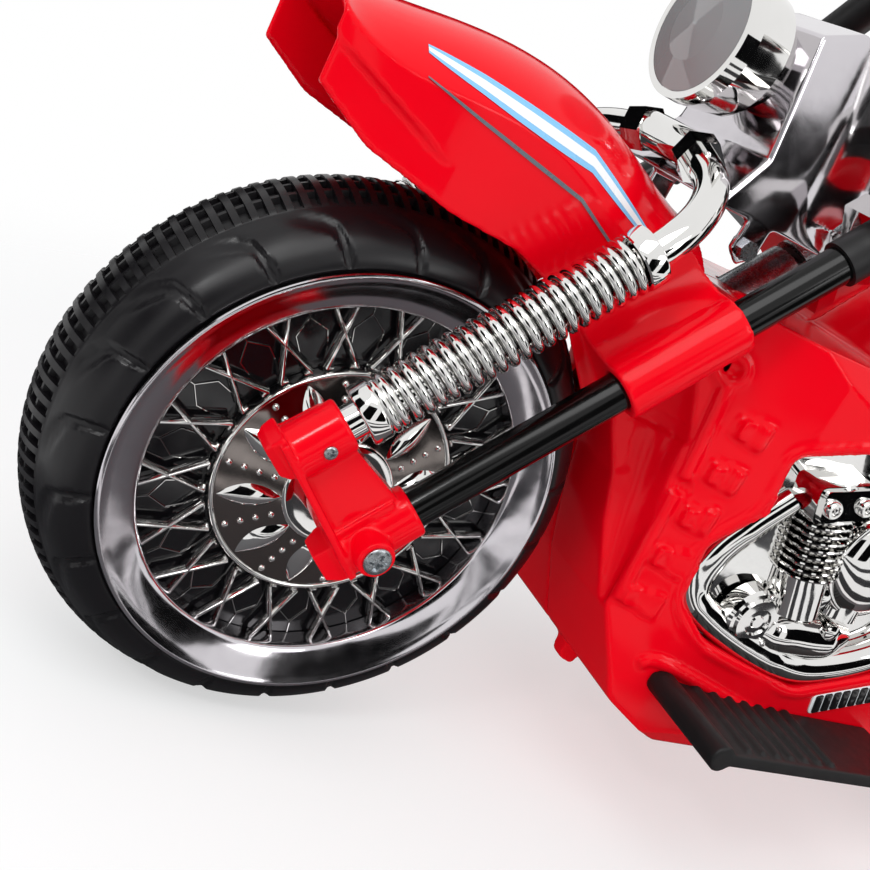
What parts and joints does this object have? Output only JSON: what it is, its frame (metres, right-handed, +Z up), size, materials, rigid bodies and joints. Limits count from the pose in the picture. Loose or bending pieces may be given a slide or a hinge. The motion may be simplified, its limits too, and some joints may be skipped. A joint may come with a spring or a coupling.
{
  "type": "kids electric motorbike",
  "caption": "Ride-on battery motorbike for children with a steered front wheel on a springer fork, a moulded body with chrome engine fronts, and rear wheels on a common axle.",
  "frame": {"origin": "on the floor under the middle of the bike's bounding box", "axes": "+X forward towards the front wheel, +Y to the rider's left, +Z up"},
  "size_m": [1.095, 0.5504, 0.6066],
  "materials": {
    "red_gloss": "glossy",
    "tyre_black": "satin",
    "black_gloss": "glossy",
    "black_matte": "matte",
    "chrome_plated": "mirror plated plastic",
    "zinc_steel": "zinc plated",
    "clear_lens": "clear",
    "tail_red": "glossy",
    "grey_plastic": "matte"
  },
  "bodies": {
    "chassis": {"body_left": "red_gloss", "body_right": "red_gloss", "head_tube": "black_matte", "head_bushes": "grey_plastic", "engine_fronts": "chrome_plated", "footboard_left": "black_matte", "footboard_right": "black_matte", "seat": "black_matte", "side_vents": "black_matte", "rear_axle": "zinc_steel", "axle_caps": "chrome_plated", "rear_spacer": "grey_plastic", "gearbox": "grey_plastic", "motor": "zinc_steel", "battery": "grey_plastic", "rear_fenders": "red_gloss", "body_screws": "zinc_steel", "tail_lights": "tail_red", "pedal_bracket": "black_matte", "switch_bezel": "black_matte", "charge_socket": "black_matte"},
    "steering": {"front_axle": "zinc_steel", "axle_nut": "zinc_steel", "axle_spacers": "red_gloss", "fork_brackets": "red_gloss", "bracket_screws": "zinc_steel", "fork_tubes": "black_gloss", "fork_collars": "black_gloss", "spring_collars": "chrome_plated", "spring_rods": "chrome_plated", "fork_spring_left": "chrome_plated", "fork_spring_right": "chrome_plated", "spring_bridge": "chrome_plated", "front_fender": "red_gloss", "lower_yoke": "black_matte", "upper_yoke": "black_matte", "steering_stem": "zinc_steel", "stem_nut": "zinc_steel", "steering_cowl": "chrome_plated", "tab_bolts": "zinc_steel", "headlight_shell": "chrome_plated", "headlight_lens": "clear_lens", "handlebar": "chrome_plated", "grips": "black_matte", "bar_clamp": "black_matte", "control_console": "black_matte"},
    "front_wheel": {"front_tyre": "tyre_black", "front_wheel_trim_left": "chrome_plated", "front_wheel_trim_right": "chrome_plated", "front_wheel_bushes": "grey_plastic"},
    "rear_wheel_left": {"rear_tyre_left": "tyre_black", "rear_wheel_trim_left": "chrome_plated"},
    "rear_wheel_right": {"rear_tyre_right": "tyre_black", "rear_wheel_trim_right": "chrome_plated", "drive_sleeve": "grey_plastic"},
    "throttle": {"throttle_pedal": "black_matte"},
    "direction": {"direction_switch": "black_gloss"},
    "power": {"power_switch": "tail_red"},
    "horn": {"horn_button": "tail_red"},
    "sound": {"sound_button": "grey_plastic"}
  },
  "joints": [
    {"name": "steering_turn", "type": "hinge", "parent": "chassis", "child": "steering", "pos_m": [0.3372, 0, 0.12584], "axis": [-0.6361, 0, 0.7716], "range_deg": [-22, 22]},
    {"name": "front_wheel_spin", "type": "hinge", "parent": "steering", "child": "front_wheel", "pos_m": [0.3835, 0, 0.164], "axis": [0, 1, 0], "continuous": true},
    {"name": "rear_wheel_left_spin", "type": "hinge", "parent": "chassis", "child": "rear_wheel_left", "pos_m": [-0.3965, 0.207, 0.13], "axis": [0, 1, 0], "continuous": true},
    {"name": "rear_wheel_right_spin", "type": "hinge", "parent": "chassis", "child": "rear_wheel_right", "pos_m": [-0.3965, -0.207, 0.13], "axis": [0, 1, 0], "continuous": true},
    {"name": "throttle_press", "type": "hinge", "parent": "chassis", "child": "throttle", "pos_m": [0.0165, -0.141, 0.131], "axis": [0, 1, 0], "range_deg": [0, 8], "stiffness_Nm_per_rad": 2, "springref_deg": -8.59},
    {"name": "direction_rock", "type": "hinge", "parent": "chassis", "child": "direction", "pos_m": [-0.127, -0.1185, 0.292], "axis": [0, 0, 1], "range_deg": [-7, 7]},
    {"name": "power_rock", "type": "hinge", "parent": "chassis", "child": "power", "pos_m": [-0.173, -0.1185, 0.292], "axis": [0, 0, 1], "range_deg": [-7, 7]},
    {"name": "horn_press", "type": "slide", "parent": "steering", "child": "horn", "axis": [0.6361, 0, -0.7716], "range_m": [0, 0.0025], "stiffness_N_per_m": 400, "springref_m": -0.002},
    {"name": "sound_press", "type": "slide", "parent": "steering", "child": "sound", "axis": [0.6361, 0, -0.7716], "range_m": [0, 0.0025], "stiffness_N_per_m": 400, "springref_m": -0.002}
  ]
}
